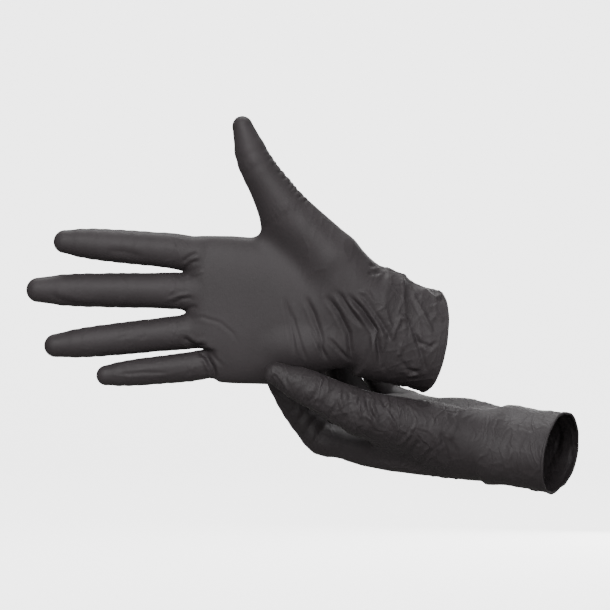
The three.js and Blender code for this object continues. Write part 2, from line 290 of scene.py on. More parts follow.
def cuff_field(hand, p):
    """The cuff: an oval tube from the wrist through the middle of the rim and beyond it."""
    start = np.array([2.0, 0.0, 0.2])
    way = hand.reach - start
    length = np.linalg.norm(way)
    way = way / length
    wide = unit(np.array([0, 0, 1.0]) - way * way[2])
    deep = np.cross(way, wide)
    q = p - start
    t = q @ way / length
    k = np.clip(t, 0, 1)
    a = 29.2 + (hand.half[0] - 29.2) * smooth(k)
    b = 19.2 + (hand.half[1] - 19.2) * smooth(k)
    x = np.abs(q @ wide) / a
    y = np.abs(q @ deep) / b
    side = ((x ** 2.15 + y ** 2.15 + 1e-9) ** (1 / 2.15) - 1) * b
    return np.maximum(side, -t * length)


def thenar_field(hand, p):
    """The ball of the thumb, from the wrist to just before the thumb's root."""
    points, axis = hand.bones["thumb"]
    end = points[0] - 6 * unit(points[0] - hand.base)
    swell = np.array([0, 1.5, 3.0]) if hand.side == "right" else np.array([0, 0, 1.0])
    middle = hand.base + 0.4 * (points[0] - hand.base) + swell
    near, _ = bone_field(p, hand.base, middle, 16.5, 15.6, axis, 1.0)
    far, _ = bone_field(p, middle, end, 15.6, 12.6, axis, 1.0)
    return blend_min(near, far, 1.5)


def sagged(hand, p):
    """The left glove's far side hangs a little lower than its near side."""
    if hand.side == "right":
        return p
    low = 0.18 * np.maximum(-p[..., 2] - 2, 0) * smooth((92 - p[..., 0]) / 30)
    return np.stack([p[..., 0], p[..., 1] + low, p[..., 2]], axis=-1)


def base_field(hand, p):
    """Palm, heel and cuff together."""
    p = sagged(hand, p)
    field = blend_min(palm_field(hand, p), cuff_field(hand, p), 7)
    for centre, radii in ((24, 4.5, 15), (17, 12, 20)), ((34, 6, -12), (24, 10.5, 11)):
        c = np.array([centre[0] * hand.cup, centre[1], centre[2]])
        q = (p - c) / np.array(radii)
        pad = (np.sqrt((q ** 2).sum(axis=-1)) - 1) * min(radii)
        field = blend_min(field, pad, 6)
    return field


def bulk_field(hand, p):
    """The hand without its digits."""
    return blend_min(base_field(hand, p), thenar_field(hand, p), 11)


def hand_field(hand, p):
    """The whole hand, with a wider round between the thumb and the palm than elsewhere."""
    fingers = None
    for digit in FINGERS:
        f, _ = digit_field(hand, digit, p)
        fingers = f if fingers is None else blend_min(fingers, f, 0.7)
    thumb, _ = digit_field(hand, "thumb", p)
    limb = blend_min(thenar_field(hand, p), thumb, 0.8)
    web = 8 + 7 * smooth((p[..., 0] / hand.cup - 40) / 30)
    field = blend_min(base_field(hand, p), limb, web)
    return blend_min(field, fingers, 3.0)


# ---- noise -----------------------------------------------------------------------------------

def hashed(i, j, k, seed):
    """A fixed value from -1 to 1 for each lattice point."""
    h = (i * 374761393 + j * 668265263 + k * 2147483647 + seed * 1274126177) & 0xFFFFFFFF
    h = ((h ^ (h >> 13)) * 1103515245) & 0xFFFFFFFF
    return ((h ^ (h >> 16)) & 0xFFFF) / 32767.5 - 1


def noise(p, seed=0):
    """Smooth lattice noise from -1 to 1."""
    base = np.floor(p).astype(np.int64)
    f = p - base
    f = f * f * f * (f * (f * 6 - 15) + 10)
    total = np.zeros(len(p))
    for corner in range(8):
        o = np.array([(corner >> b) & 1 for b in range(3)])
        c = base + o
        weight = np.prod(np.where(o, f, 1 - f), axis=1)
        total += weight * hashed(c[:, 0], c[:, 1], c[:, 2], seed)
    return total


def creases(p, along, pitch, stretch, seed, sharp=1.6):
    """Ridged noise drawn out along one direction: 0 on the flats, 1 on the crests of the folds."""
    along = unit(along)
    q = p - np.outer(p @ along, along) * (1 - 1 / stretch)
    q = q / pitch
    warp = np.stack([noise(q * 0.6 + 11.3 * i, seed + i) for i in range(3)], axis=1)
    r = 1 - np.abs(noise(q + 0.55 * warp, seed + 7)) * 2.2
    return np.clip(r, 0, 1) ** sharp


# ---- mesh ------------------------------------------------------------------------------------

def extract(hand):
    """The skin of a hand as points and quads."""
    pts = np.concatenate([hand.bones[d][0] for d in DIGITS] + [hand.reach[None], np.array([[0, 0, 0]])])
    low = pts.min(axis=0) - np.array([14.0, 26.0, 38.0])
    high = pts.max(axis=0) + np.array([16.0, 26.0, 16.0])
    low[1] = min(low[1], -30)
    low[2] = min(low[2], -44)
    count = np.ceil((high - low) / STEP / CELL).astype(int)
    cells = np.stack(np.meshgrid(*(np.arange(n) for n in count), indexing="ij"), axis=-1).reshape(-1, 3)
    rough = hand_field(hand, low + STEP * CELL * (cells + 0.5))
    inside = np.stack(np.meshgrid(*(np.arange(CELL),) * 3, indexing="ij"), axis=-1)
    shape = (*count, CELL, CELL, CELL)
    sign = np.where(rough < 0, -BAND, BAND).reshape(*count, 1, 1, 1)
    grid = np.broadcast_to(sign, shape).astype(np.float32)
    near = cells[np.abs(rough) < 1.15 * STEP * CELL + 2 * STEP]
    # Only the blocks near the skin are worked out in full, 300 at a time to save memory.
    for i in range(0, len(near), 300):
        some = near[i:i + 300]
        block = low + STEP * (some[:, None, None, None] * CELL + inside)
        grid[some[:, 0], some[:, 1], some[:, 2]] = hand_field(hand, block)
    grid = grid.transpose(0, 3, 1, 4, 2, 5).reshape(count * CELL)
    vdb = openvdb.FloatGrid(BAND)
    vdb.copyFromArray(np.ascontiguousarray(np.clip(grid, -BAND, BAND)))
    points, quads = vdb.convertToQuads(isovalue=0.0)
    return low + STEP * np.asarray(points, float), np.asarray(quads, int)


def face_normals(points, quads):
    """The faces' normals, with twice their areas as lengths."""
    a = points[quads[:, 2]] - points[quads[:, 0]]
    b = points[quads[:, 3]] - points[quads[:, 1]]
    return np.cross(a, b)


def normals_of(points, quads):
    """Unit normals at the points."""
    n = face_normals(points, quads)
    out = np.zeros_like(points)
    for i in range(4):
        for c in range(3):
            out[:, c] += np.bincount(quads[:, i], n[:, c], len(points))
    return out / np.maximum(np.linalg.norm(out, axis=1, keepdims=True), 1e-12)


def relax(points, quads, rounds):
    """Evens out the points without shrinking the shape."""
    for i in range(rounds):
        for share in (0.5, -0.52):
            total = np.zeros_like(points)
            count = np.zeros(len(points))
            for a, b in ((0, 1), (1, 2), (2, 3), (3, 0)):
                for s, t in ((a, b), (b, a)):
                    count += np.bincount(quads[:, s], minlength=len(points))
                    for c in range(3):
                        total[:, c] += np.bincount(quads[:, s], points[quads[:, t], c], len(points))
            points = points + share * (total / np.maximum(count, 1)[:, None] - points)
    return points


def compact(points, quads):
    """Drops the points that no face uses."""
    used = np.unique(quads)
    index = np.full(len(points), -1)
    index[used] = np.arange(len(used))
    return points[used], index[quads], used


def biggest(points, quads):
    """Keeps the largest connected skin."""
    label = np.arange(len(points))
    while True:
        least = label[quads].min(axis=1)
        new = label.copy()
        for i in range(4):
            np.minimum.at(new, quads[:, i], least)
        new = new[new]
        if (new == label).all():
            break
        label = new
    names, counts = np.unique(label[quads[:, 0]], return_counts=True)
    keep = label[quads[:, 0]] == names[np.argmax(counts)]
    points, quads, _ = compact(points, quads[keep])
    return points, quads


def open_cuff(hand, points, quads):
    """Cuts the skin off at the plane of the rim."""
    beyond = (points - hand.reach) @ hand.rim
    keep = (beyond[quads] <= 0).any(axis=1)
    quads = quads[keep]
    way = unit(hand.reach - np.array([6.0, 0, 0]))
    move = np.where(beyond > 0, -beyond / np.dot(way, hand.rim), 0)
    points = points + move[:, None] * way
    points, quads, _ = compact(points, quads)
    return points, quads


# ---- folds -----------------------------------------------------------------------------------

# Folds are seen from the front. A point is millimetres to the right of the wrist joint and above it, a height
# less than 0 is a valley, and a half width is how far a fold reaches to each side of its line.

def fan(count, first, last, height, half):
    """A family of folds, spread evenly from the first one's line to the last one's."""
    first = np.array(first, float)
    last = np.array(last, float)
    heights = np.linspace(height[0], height[1], count)
    shares = np.linspace(0, 1, count)
    return [(high, half, first + share * (last - first)) for high, share in zip(heights, shares)]


def fold(line, height, half):
    """A single fold."""
    return [(height, half, np.array(line, float))]


def moved(folds, place):
    """Folds drawn round a place of their own."""
    return [(height, half, line + place) for height, half, line in folds]


def root(hand, digit):
    """A digit's root joint as seen from the front."""
    point = hand.world(hand.bones[digit][0][0]) - hand.origin
    return point[[0, 2]]


def heel_folds():
    """Long folds from the ball of the thumb to the little finger's edge, and shorter ones between them."""
    near_palm = [(-51, 16), (-48, 4), (-46, -8), (-45, -20)]
    near_wrist = [(-18, 18), (-8, 8), (0, -4), (3, -27)]
    folds = fan(4, near_palm, near_wrist, (-0.5, -1.7), 1.3)
    folds += fan(
        3, [(-47, 8), (-42, -11), (-38, -22)], [(-27, -7), (-20, -15), (-13, -22)], (-0.5, -0.7), 0.9
    )
    folds += fan(2, [(-22, 19), (-15, 8), (-7, -3)], [(-10, 18), (-1, 6), (7, -10)], (-1.1, -0.6), 1.3)
    folds += fold([(0, 6), (4, -1), (7, -6), (9, -12)], -0.8, 1.1)
    folds += fan(2, [(-5, 28), (3, 28)], [(-4, 32), (0, 32)], (-0.7, -0.5), 1.1)
    folds += fold([(-11, 18), (-5, 17), (0, 10)], 0.4, 1)
    return folds


def cuff_folds():
    """The loose film below the wrist: valleys that hang from it, and ridges that cross them."""
    folds = fan(2, [(4, -12), (5, -20), (4, -28)], [(21, -4), (25, -16), (28, -28)], (-0.6, -0.9), 1.2)
    folds += fold([(20, -1), (23, -10), (30, -13), (35, -9)], -0.6, 1.1)
    folds += fold([(13, -19), (17, -25), (24, -28)], -0.6, 1.2)
    folds += fan(2, [(5, 9), (7, 1), (10, -5)], [(18, 20), (26, 6), (32, -7)], (0.6, 0.7), 1.1)
    folds += fold([(7, -13), (10, -4), (14, 4), (20, -1)], 0.7, 1.1)
    folds += fold([(24, 21), (29, 17), (33, 14), (38, 17)], 0.8, 1.2)
    folds += fold([(29, 1), (33, 4), (38, 1)], 0.6, 1.3)
    folds += fold([(12, -19), (14, -14), (13, -10)], 0.5, 1)
    folds += fold([(17, -29), (24, -28)], 0.6, 0.9)
    return folds


def web_folds(hand):
    """Short pulls at the webs of the fingers, a deep one at the little finger, and a crease into the palm."""
    roots = [root(hand, digit) for digit in FINGERS]
    webs = [(a + b) / 2 for a, b in zip(roots[:-1], roots[1:])]
    pulls = fan(2, [(5, -1), (10, 4), (16, 6)], [(5, 4), (10, 8), (15, 10)], (-0.55, -0.45), 1)
    folds = moved(pulls, webs[0])
    folds += moved(fold([(6, -2), (12, -2), (18, 0)], 0.35, 0.9), webs[0])
    pulls = fan(2, [(4, -1), (9, 2), (14, 3)], [(-1, 4), (5, 7), (12, 8)], (-0.55, -0.4), 1)
    folds += moved(pulls, webs[1])
    folds += moved(fold([(-5, 6), (3, 9), (10, 10)], 0.35, 0.9), webs[1])
    folds += moved(fold([(7, -4), (16, -3), (26, -6), (33, -12), (37, -19)], -0.22, 0.9), webs[1])
    folds += moved(fold([(0, 8), (4, 4), (8, 2), (15, 3)], -1, 1.3), webs[2])
    folds += moved(fold([(7, 0), (13, -3), (17, -10), (19, -18)], -1.1, 1.3), webs[2])
    folds += moved(fold([(11, -3), (15, -11), (17, -18)], 0.6, 0.9), webs[2])
    folds += moved(fold([(14, 0), (21, -7), (24, -10)], -0.2, 0.9), webs[2])
    return folds


def finger_folds(hand):
    """Shallow slack lines along the fingers, from the root joint of each."""
    folds = moved(fold([(-38, 0), (-26, -1), (-15, -4)], -0.3, 1.7), root(hand, "index"))
    folds += moved(fold([(-70, 0), (-63, -5), (-52, -8), (-37, -9)], -0.4, 1.7), root(hand, "middle"))
    slack = fan(2, [(-32, -3), (-25, -1)], [(-20, -3), (-15, -1)], (-0.14, -0.14), 0.9)
    folds += moved(slack, root(hand, "ring"))
    folds += moved(fold([(-40, -4), (-26, -3), (-10, -3)], -0.25, 0.9), root(hand, "little"))
    return folds


def gripping_folds():
    """The left glove: crumples across the thumb, pulls on the index finger, and folds at the heel."""
    folds = fold([(-132, 42), (-128, 39), (-125, 35), (-121, 28)], 0.55, 0.9)
    folds += fold([(-135, 32), (-129, 27), (-121, 23), (-115, 22)], 0.45, 0.9)
    folds += fold([(-129, 40), (-131, 37), (-129, 31)], -0.6, 1.1)
    folds += fan(
        3, [(-105, 40), (-110, 35), (-114, 29)], [(-95, 34), (-100, 28), (-105, 20)], (-0.3, -0.3), 1.4
    )
    folds += fan(4, [(-93, 32), (-94, 26), (-91, 16)], [(-66, 26), (-68, 20), (-61, 7)], (0.75, 0.75), 1)
    folds += fan(3, [(-88, 30), (-89, 22), (-87, 14)], [(-72, 28), (-67, 19), (-61, 12)], (-0.7, -0.7), 1)
    folds += fold([(-82, 18), (-76, 14), (-73, 9)], 0.7, 1)
    folds += fold([(-54, 7), (-60, 1), (-64, 0)], 0.6, 1)
    folds += fan(2, [(-49, 4), (-54, -3), (-60, -9)], [(-41, 0), (-48, -10), (-53, -15)], (-0.7, -0.6), 1.2)
    folds += fan(2, [(-39, 9), (-35, -2), (-32, -15)], [(-34, 7), (-30, -3), (-28, -15)], (-1, -0.9), 1.5)
    folds += fan(
        4, [(-118, 20), (-122, 17), (-125, 13)], [(-100, 13), (-105, 5), (-110, -3)], (-0.6, -0.5), 1.2
    )
    folds += fold([(-115, 21), (-108, 18), (-100, 13), (-93, 7)], -0.8, 1.6)
    return folds


def fold_field(x, y, folds):
    """Sharp folds drawn as strokes that die away at both ends."""
    total = np.zeros(len(x))
    for height, half, points in folds:
        spans = np.linalg.norm(np.diff(points, axis=0), axis=1)
        best = np.full(len(x), 1e9)
        along = np.zeros(len(x))
        done = 0.0
        for a, b, span in zip(points[:-1], points[1:], spans):
            way = (b - a) / span
            t = (x - a[0]) * way[0] + (y - a[1]) * way[1]
            t = np.clip(t, 0, span)
            away = np.hypot(x - a[0] - t * way[0], y - a[1] - t * way[1])
            along = np.where(away < best, (done + t) / spans.sum(), along)
            best = np.minimum(best, away)
            done += span
        near = best < 4 * half
        ends = smooth(along * 4) * smooth((1 - along) * 4)
        profile = np.exp(-(best / half) ** 1.4) - 0.28 * np.exp(-((best - 2.1 * half) / half) ** 2)
        total += near * height * ends * profile
    return total


def near_span(s, middle, half):
    """1 at the middle, dying away on both sides."""
    return np.exp(-((s - middle) / half) ** 2)


def wrinkles(hand, p, n):
    """How far each point of the skin moves out, in millimetres."""
    right = hand.side == "right"
    seed = 3 if right else 40
    world = hand.world(p) - hand.origin
    front = -(n @ np.stack([hand.u, hand.v, hand.w]))[:, 1]
    facing = smooth((front - 0.02) * 2.5)
    move = 0.035 * creases(p, (0.4, 0.2, -0.9), 9.0, 2.5, seed)
    if right:
        folds = heel_folds() + cuff_folds() + web_folds(hand) + finger_folds(hand)
    else:
        folds = gripping_folds()
    depth = 1.3 if right else 1.1
    move += depth * facing * fold_field(world[:, 0], world[:, 2], folds)
    wrist = smooth((13 - p[:, 0]) / 22)
    lean = np.array((0.35, 0.1, -0.93))
    hidden = 1 - 0.7 * facing
    amount = 1.0 if right else 0.6
    move += amount * wrist * hidden * 0.75 * creases(p, lean, 8.5, 2.6, seed + 10)
    move += amount * wrist * 0.28 * creases(p, (0.8, 0.2, -0.6), 4.6, 2.2, seed + 20, 2.2)
    heel = smooth((56 * hand.cup - p[:, 0]) / 26) * smooth((p[:, 0] - 2) / 14)
    side = smooth(-p[:, 2] / 20)
    if right:
        move += facing * heel * 0.2 * creases(p, (0.32, 0, -0.95), 4.2, 6, seed + 30)
        move += (1 - facing) * heel * side * 0.5 * creases(p, (0.3, 0.6, -0.7), 5.0, 3.0, seed + 31)
    else:
        move += heel * 0.34 * creases(world, (0.25, 0.1, 0.95), 4.4, 2.6, seed + 30, 2.0)
        move += heel * 0.25 * creases(world, (-0.7, 0.1, 0.6), 4.0, 2.6, seed + 33, 2.4)
    back = smooth(-n[:, 1] * 2)
    move += back * 0.09 * creases(p, (1.0, 0, 0.25), 7.0, 3.0, seed + 36)
    for digit in DIGITS:
        f, s = digit_field(hand, digit, p)
        close = smooth((3.5 - np.abs(f)) / 3)
        move += close * digit_wrinkles(hand, digit, p, n, s, seed)
    return move


def digit_wrinkles(hand, digit, p, n, s, seed):
    """A digit's own wrinkles: at its root, inside its joints, and crimps along the outside of a thumb."""
    points, axis = hand.bones[digit]
    spans = bone_spans(hand, digit)
    right = hand.side == "right"
    way = unit(points[1] - points[0])
    sideways = unit(axis)
    pad = unit(np.cross(axis, way))
    facing = n @ pad
    root = near_span(s, -2, 6)
    move = root * 0.16 * creases(p, way + 0.5 * sideways, 3.4, 3.0, seed + 50, 2.2)
    move += 0.035 * creases(p, way, 3.5, 6.0, seed + 60)
    for j in np.cumsum(spans)[:-1]:
        move += near_span(s, j, 4.5) * smooth(facing * 2) * 0.16 * creases(p, sideways, 2.4, 4.0, seed + 70)
    if digit == "thumb":
        outer = smooth(-facing * 2.2 - 0.3) * smooth((s + 22) / 8) * smooth((38 - s) / 10)
        phase = s / 3.7 + 0.55 * noise(p / 7, seed + 81)
        amount = 0.5 if right else 0.2
        move += outer * amount * (np.abs(np.sin(np.pi * phase)) ** 0.8 - 0.5)
        move += outer * 0.2 * creases(p, pad, 2.7, 3.0, seed + 80, 2.0)
        if not right:
            world = hand.world(p)
            move += smooth((s + 14) / 10) * 0.34 * creases(world, (0.6, 0.1, 0.8), 4.2, 3.2, seed + 85, 1.8)
    if digit == "little" and right:
        move += 0.16 * smooth(facing * 2) * creases(p, way, 2.2, 9.0, seed + 90, 2.0)
    return move


# ---- pieces ----------------------------------------------------------------------------------

def labels(hand, points, quads):
    """Which piece each face belongs to: 0 the hand, then for each digit its root, middle and tip pieces."""
    c = points[quads].mean(axis=1)
    bulk = bulk_field(hand, c)
    out = np.zeros(len(quads), int)
    best = np.full(len(quads), 1e9)
    for k, digit in enumerate(DIGITS):
        f, s = digit_field(hand, digit, c)
        mine = (s > -2.2) & (f < bulk + 1.8) & (f < best) & (f < 4)
        best = np.where(mine, f, best)
        spans = bone_spans(hand, digit)
        zone = np.zeros(len(quads), int)
        done = 0.0
        for i, span in enumerate(spans[:-1]):
            share = 0.5 if i > 0 or digit == "thumb" else 0.62 if hand.side == "right" else 0.72
            zone += s > done + span * share
            done += span
        out = np.where(mine, 1 + 3 * k + zone, out)
    return out


def bone_spans(hand, digit):
    """The length of each bone of a digit."""
    return np.linalg.norm(np.diff(hand.bones[digit][0], axis=0), axis=1)


def walled(points, inner, quads):
    """Outer and inner skins joined round every open edge: points, quads, and each point's source."""
    used = np.unique(quads)
    index = np.full(len(points), -1)
    index[used] = np.arange(len(used))
    q = index[quads]
    n = len(used)
    edges = np.concatenate([q[:, [i, (i + 1) % 4]] for i in range(4)])
    key = np.sort(edges, axis=1)
    code = key[:, 0].astype(np.int64) * n + key[:, 1]
    _, where, counts = np.unique(code, return_index=True, return_counts=True)
    open_edges = edges[where[counts == 1]]
    wall = np.stack([open_edges[:, 1], open_edges[:, 0], open_edges[:, 0] + n, open_edges[:, 1] + n], axis=1)
    return np.concatenate([points[used], inner[used]]), np.concatenate([q, q[:, ::-1] + n, wall]), used


def crumple(hand, p):
    """How finely creased the film is: most on the gripping thumb, hardly at all on the stretched palm."""
    right = hand.side == "right"
    amount = 0.05 + (0.3 if right else 0.5) * smooth((12 - p[:, 0]) / 16)
    if not right:
        amount = np.maximum(amount, 0.9 * smooth((66 - p[:, 0]) / 20) * smooth((p[:, 0] - 6) / 16))
    for digit in DIGITS:
        f, s = digit_field(hand, digit, p)
        close = smooth((3.5 - np.abs(f)) / 3)
        whole = 0.35 * near_span(s, -1, 5)
        if not right and digit in ("thumb", "index"):
            whole = (0.75 if digit == "thumb" else 0.45) * smooth((s + 18) / 10)
        amount = np.maximum(amount, close * whole)
    return np.clip(amount, 0, 1)


def add_mesh(name, points, quads, normals, material, amount=None):
    """A smooth mesh in the row frame, with how crumpled each point is."""
    mesh = bpy.data.meshes.new(name)
    mesh.vertices.add(len(points))
    mesh.vertices.foreach_set("co", (points / 1000).astype(np.float32).ravel())
    mesh.loops.add(quads.size)
    mesh.loops.foreach_set("vertex_index", quads.astype(np.int32).ravel())
    mesh.polygons.add(len(quads))
    mesh.polygons.foreach_set("loop_start", np.arange(0, quads.size, 4, dtype=np.int32))
    mesh.polygons.foreach_set("loop_total", np.full(len(quads), 4, np.int32))
    mesh.polygons.foreach_set("use_smooth", np.ones(len(quads), bool))
    mesh.update(calc_edges=True)
    mesh.normals_split_custom_set_from_vertices(normals.astype(np.float32))
    if amount is not None:
        mask = mesh.attributes.new("crumple", "FLOAT", "POINT")
        mask.data.foreach_set("value", amount.astype(np.float32))
    mesh.materials.append(material)
    obj = bpy.data.objects.new(name, mesh)
    bpy.context.scene.collection.objects.link(obj)
    return obj


def at(hand, point):
    """A point of a hand's frame as metres in the row frame."""
    return tuple(float(x) / 1000 for x in hand.world(np.asarray(point, float)))


def shared(points, quads, part, one, others):
    """The points that the faces of one piece share with those of other pieces."""
    return points[np.intersect1d(quads[part == one], quads[np.isin(part, others)])]


def bend_digit(hand, digit, zone, obj, near_edge, far_edge):
    """Works out a span round a digit piece's own joint, between the edges it shares with its neighbours, then
    bakes the piece in place and hides the model's part for that bone.
    """
    points, _ = hand.bones[digit]
    side = hand.side
    parts = ["base", "middle", "tip"] if digit != "thumb" else ["base", "tip"]
    joint = points[zone]
    way = unit(points[zone + 1] - joint)
    if zone > 0:
        way = unit(way + unit(joint - points[zone - 1]))
    elif digit != "thumb":
        _, _, axes = np.linalg.svd(near_edge - near_edge.mean(axis=0), full_matrices=False)
        way = axes[2] if axes[2] @ way > 0 else -axes[2]
    # The span reaches from one shared edge to the other, but at least over 2 mm. Beyond the root piece it
    # stays within BEND of the joint.
    near = ((near_edge - joint) @ way).max() + 0.02
    far = ((far_edge - joint) @ way).min() - 0.02 if len(far_edge) else BEND
    if zone > 0:
        near = max(near, -BEND)
        far = min(far, BEND)
    far = max(near + 2, min(far, near + (ROOT_BEND if zone == 0 else 2 * BEND)))
    start = joint + near * way
    end = joint + far * way
    at(hand, start)
    at(hand, end)
    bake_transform(obj)
    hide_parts(f"{side}_{digit}_{parts[zone]}")


def build_hand(hand, material):
    """One glove: its film in pieces, and its rolled rim."""
    points, quads = extract(hand)
    if np.einsum("ij,ij->i", points[quads[:, 0]], face_normals(points, quads)).sum() < 0:
        quads = quads[:, ::-1]
    points, quads = biggest(points, quads)
    points = relax(points, quads, SMOOTHING)
    part = labels(hand, points, quads)
    normals = normals_of(points, quads)
    points = points + normals * wrinkles(hand, points, normals)[:, None]
    keep = (((points - hand.reach) @ hand.rim)[quads] <= 0).any(axis=1)
    part = part[keep]
    points, quads = open_cuff(hand, points, quads)
    normals = normals_of(points, quads)
    inner = points - normals * WALL
    amount = crumple(hand, points)
    mirror = hand.side == "left"
    turn = np.stack([hand.u, hand.v, hand.w])
    for label in np.unique(part):
        name = hand.side + "_hand_film"
        if label:
            digit = DIGITS[(label - 1) // 3]
            names = ("root", "middle", "tip") if digit != "thumb" else ("root", "tip")
            name = f"{hand.side}_{digit}_film_{names[(label - 1) % 3]}"
        p, q, used = walled(points, inner, quads[part == label])
        n = np.concatenate([normals[used], -normals[used]]) @ turn
        if mirror:
            q = q[:, ::-1]
        obj = add_mesh(name, hand.world(p), q, n, material, np.concatenate([amount[used], amount[used]]))
        if label:
            zone = (label - 1) % 3
            last = zone == len(names) - 1
            before = [n for n in np.unique(part) if n not in (label, label + 1)]
            near_edge = shared(points, quads, part, label, before)
            far_edge = shared(points, quads, part, label, [] if last else [label + 1])
            bend_digit(hand, digit, zone, obj, near_edge, far_edge)
        else:
            start = at(hand, (-13, 0, 0))
            end = at(hand, (13, 0, 0))
            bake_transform(obj)
            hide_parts(hand.side + "_cuff", hand.side + "_palm")
    build_bead(hand, points, quads, material)


def rim_loop(points, quads):
    """The open edge of the skin, in order."""
    edges = np.concatenate([quads[:, [i, (i + 1) % 4]] for i in range(4)])
    key = np.sort(edges, axis=1)
    code = key[:, 0].astype(np.int64) * len(points) + key[:, 1]
    _, where, counts = np.unique(code, return_index=True, return_counts=True)
    follow = {int(a): int(b) for a, b in edges[where[counts == 1]]}
    start = next(iter(follow))
    loop = [start]
    while follow.get(loop[-1], start) != start and len(loop) < len(follow) + 1:
        loop.append(follow[loop[-1]])
    return points[loop]


def build_bead(hand, points, quads, material):
    """The rolled rim: a slightly uneven roll along the open edge of the cuff."""
    loop = rim_loop(points, quads)
    for _ in range(SMOOTHING):
        loop = (np.roll(loop, 1, axis=0) + 2 * loop + np.roll(loop, -1, axis=0)) / 4
    count = 220
    step = np.linalg.norm(np.diff(np.vstack([loop, loop[:1]]), axis=0), axis=1)
    at_length = np.concatenate([[0], np.cumsum(step)])
    ring = np.vstack([loop, loop[:1]])
    want = np.linspace(0, at_length[-1], count, endpoint=False)
    loop = np.stack([np.interp(want, at_length, ring[:, i]) for i in range(3)], axis=1)
    along = np.roll(loop, -1, axis=0) - np.roll(loop, 1, axis=0)
    along /= np.linalg.norm(along, axis=1, keepdims=True)
    out = loop - loop.mean(axis=0)
    out -= along * (out * along).sum(axis=1, keepdims=True)
    out /= np.linalg.norm(out, axis=1, keepdims=True)
    up = np.cross(along, out)
    sides = 12
    turn = np.linspace(0, 2 * np.pi, sides, endpoint=False)
    phase = np.linspace(0, 2 * np.pi, count)
    size = BEAD * (1 + 0.12 * np.sin(9 * phase) * np.cos(4 * phase))
    radial = np.cos(turn)[None, :, None] * out[:, None] + np.sin(turn)[None, :, None] * up[:, None]
    p = (loop[:, None] - 0.15 * out[:, None] + radial * size[:, None, None]).reshape(-1, 3)
    i = np.arange(count)[:, None]
    j = np.arange(sides)[None, :]
    a = i * sides + j
    b = (i + 1) % count * sides + j
    c = (i + 1) % count * sides + (j + 1) % sides
    d = i * sides + (j + 1) % sides
    q = np.stack([a, b, c, d], axis=-1).reshape(-1, 4)
    n = radial.reshape(-1, 3)
    if np.einsum("ij,ij->i", n[q[:, 0]], face_normals(p, q)).sum() < 0:
        q = q[:, ::-1]
    if hand.side == "left":
        q = q[:, ::-1]
    turned = n @ np.stack([hand.u, hand.v, hand.w])
    obj = add_mesh(hand.side + "_rolled_rim", hand.world(p), q, turned, material)
    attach(obj, hand.side + "_cuff")
    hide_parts(hand.side + "_cuff_bead")


# ---- looks -----------------------------------------------------------------------------------

def crease_lines(tree, vector, scale, width):
    """Sharp creases along the edges of irregular cells."""
    cells = tree.nodes.new("ShaderNodeTexVoronoi")
    cells.feature = "DISTANCE_TO_EDGE"
    cells.inputs["Scale"].default_value = scale
    tree.links.new(vector, cells.inputs["Vector"])
    crest = tree.nodes.new("ShaderNodeMapRange")
    crest.interpolation_type = "SMOOTHSTEP"
    crest.inputs["From Max"].default_value = width
    crest.inputs["To Min"].default_value = 1
    crest.inputs["To Max"].default_value = 0
    tree.links.new(cells.outputs["Distance"], crest.inputs["Value"])
    return crest.outputs["Result"]


def maths(tree, operation, a, b):
    """A maths node on two numbers or sockets."""
    node = tree.nodes.new("ShaderNodeMath")
    node.operation = operation
    for socket, value in zip(node.inputs, (a, b)):
        if isinstance(value, (int, float)):
            socket.default_value = value
        else:
            tree.links.new(value, socket)
    return node.outputs["Value"]


def crease_normal(tree, coords):
    """Fine creases, raised where the film's crumple value is high."""
    warp = tree.nodes.new("ShaderNodeTexNoise")
    warp.inputs["Scale"].default_value = 60
    warp.inputs["Detail"].default_value = 2
    tree.links.new(coords.outputs["Object"], warp.inputs["Vector"])
    bent = tree.nodes.new("ShaderNodeVectorMath")
    bent.operation = "MULTIPLY_ADD"
    bent.inputs[1].default_value = (0.016, 0.016, 0.016)
    tree.links.new(warp.outputs["Color"], bent.inputs[0])
    tree.links.new(coords.outputs["Object"], bent.inputs[2])
    turned = tree.nodes.new("ShaderNodeMapping")
    turned.inputs["Rotation"].default_value = (0.2, 0.35, 0)
    turned.inputs["Scale"].default_value = (1.5, 1.0, 0.62)
    tree.links.new(bent.outputs["Vector"], turned.inputs["Vector"])
    large = crease_lines(tree, turned.outputs["Vector"], 95, 0.16)
    small = crease_lines(tree, turned.outputs["Vector"], 210, 0.2)
    both = maths(tree, "ADD", large, maths(tree, "MULTIPLY", small, 0.4))
    mask = tree.nodes.new("ShaderNodeAttribute")
    mask.attribute_name = "crumple"
    bump = tree.nodes.new("ShaderNodeBump")
    bump.inputs["Strength"].default_value = 0.75
    bump.inputs["Distance"].default_value = 0.0004
    tree.links.new(maths(tree, "MULTIPLY", both, mask.outputs["Fac"]), bump.inputs["Height"])
    return bump.outputs["Normal"]


